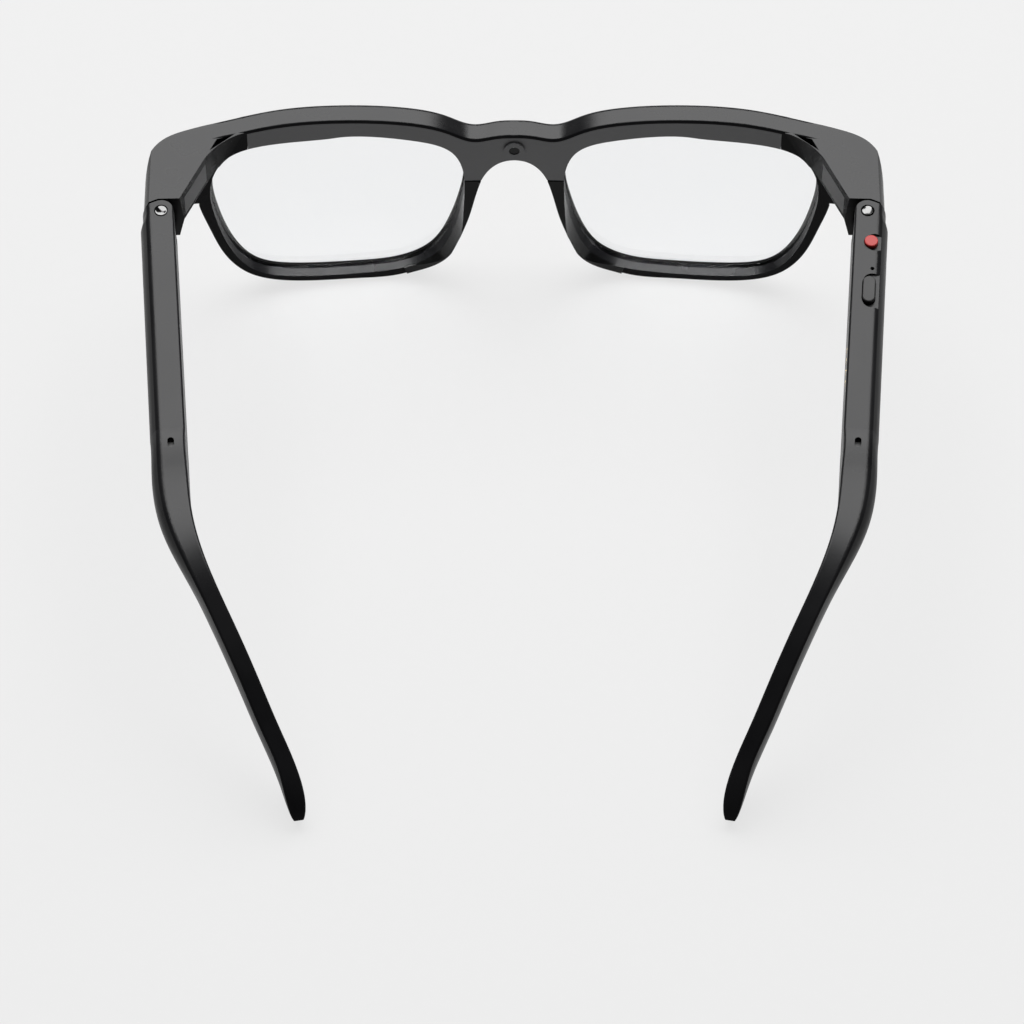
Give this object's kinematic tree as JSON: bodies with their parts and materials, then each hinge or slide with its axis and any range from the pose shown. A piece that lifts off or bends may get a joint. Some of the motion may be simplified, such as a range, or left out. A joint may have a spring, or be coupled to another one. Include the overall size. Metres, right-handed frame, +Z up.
{
  "type": "smart glasses",
  "caption": "Smart glasses with clear lenses, folding spring-hinged temples that hold the electronics, and press buttons on the right temple.",
  "frame": {"origin": "middle of the footprint, on the surface that the glasses stand on, open and upright", "axes": "+Z up, +Y forwards out of the front of the glasses, +X to the wearer's right"},
  "size_m": [0.1508, 0.1442, 0.0503],
  "materials": {
    "frame": "polished black injection-moulded plastic",
    "brow_cover": "black rear cover, light satin",
    "temple": "polished black plastic",
    "inner_cover": "satin black plastic",
    "seal": "matte black rubber",
    "nose_rest": "black smooth plastic",
    "lens": "clear anti-reflection coated lens",
    "bezel": "glossy dark ring",
    "window": "dark tinted window",
    "sensor": "black sensor package",
    "flex_circuit": "amber polyimide film",
    "board": "green solder mask",
    "steel": "machined stainless steel",
    "pin_steel": "polished stainless steel",
    "spring_steel": "drawn spring wire",
    "core_wire": "drawn steel wire",
    "battery": "crinkled foil pouch",
    "speaker": "black speaker box",
    "mesh": "black woven steel mesh",
    "dome": "snap dome",
    "contact": "gold-plated contact",
    "red_button": "red satin plastic",
    "key": "black satin plastic",
    "microphone": "metal-can microphone"
  },
  "bodies": {
    "front": {"front_frame": "frame", "brow_cover": "brow_cover", "brow_flex": "flex_circuit", "sensor_bezel": "bezel", "sensor_window": "window", "sensor_module": "sensor", "lens_left": "lens", "lens_right": "lens", "lens_seal_left": "seal", "lens_seal_right": "seal", "nose_rest_left": "nose_rest", "nose_rest_right": "nose_rest", "end_cover_left": "inner_cover", "end_cover_right": "inner_cover", "flex_spring_left": "spring_steel", "flex_spring_right": "spring_steel"},
    "hinge_left": {"hinge_arm_left": "steel"},
    "temple_left": {"temple_left": "temple", "temple_cover_left": "inner_cover", "core_wire_left": "core_wire", "battery_left": "battery", "speaker_left": "speaker", "speaker_mesh_left": "mesh", "hinge_bracket_left": "steel", "bracket_screws_left": "steel", "hinge_pin_left": "pin_steel", "battery_board": "board"},
    "hinge_right": {"hinge_arm_right": "steel"},
    "temple_right": {"temple_right": "temple", "temple_cover_right": "inner_cover", "core_wire_right": "core_wire", "battery_right": "battery", "speaker_right": "speaker", "speaker_mesh_right": "mesh", "hinge_bracket_right": "steel", "bracket_screws_right": "steel", "hinge_pin_right": "pin_steel", "main_board": "board", "button_board": "flex_circuit", "microphone": "microphone", "charge_contacts": "contact", "power_dome": "dome", "function_dome": "dome"},
    "power_button": {"power_button": "red_button"},
    "function_key": {"function_key": "key"}
  },
  "joints": [
    {"name": "flex_left", "type": "hinge", "parent": "front", "child": "hinge_left", "pos_m": [-0.0752, 0.04712, 0.04059], "axis": [0, 0.0986, -0.9951], "range_deg": [0, 13], "stiffness_Nm_per_rad": 1},
    {"name": "fold_left", "type": "hinge", "parent": "hinge_left", "child": "temple_left", "pos_m": [-0.07105, 0.04548, 0.04043], "axis": [0, -0.0986, 0.9951], "range_deg": [0, 82]},
    {"name": "flex_right", "type": "hinge", "parent": "front", "child": "hinge_right", "pos_m": [0.0752, 0.04712, 0.04059], "axis": [0, -0.0986, 0.9951], "range_deg": [0, 13], "stiffness_Nm_per_rad": 1},
    {"name": "fold_right", "type": "hinge", "parent": "hinge_right", "child": "temple_right", "pos_m": [0.07105, 0.04548, 0.04043], "axis": [0, 0.0986, -0.9951], "range_deg": [0, 66]},
    {"name": "power_press", "type": "slide", "parent": "temple_right", "child": "power_button", "axis": [0, 0.0986, -0.9951], "range_m": [0, 0.0004], "stiffness_N_per_m": 3000, "deforming": ["power_dome"]},
    {"name": "function_press", "type": "slide", "parent": "temple_right", "child": "function_key", "axis": [0, 0.0986, -0.9951], "range_m": [0, 0.0004], "stiffness_N_per_m": 3000, "deforming": ["function_dome"]}
  ]
}
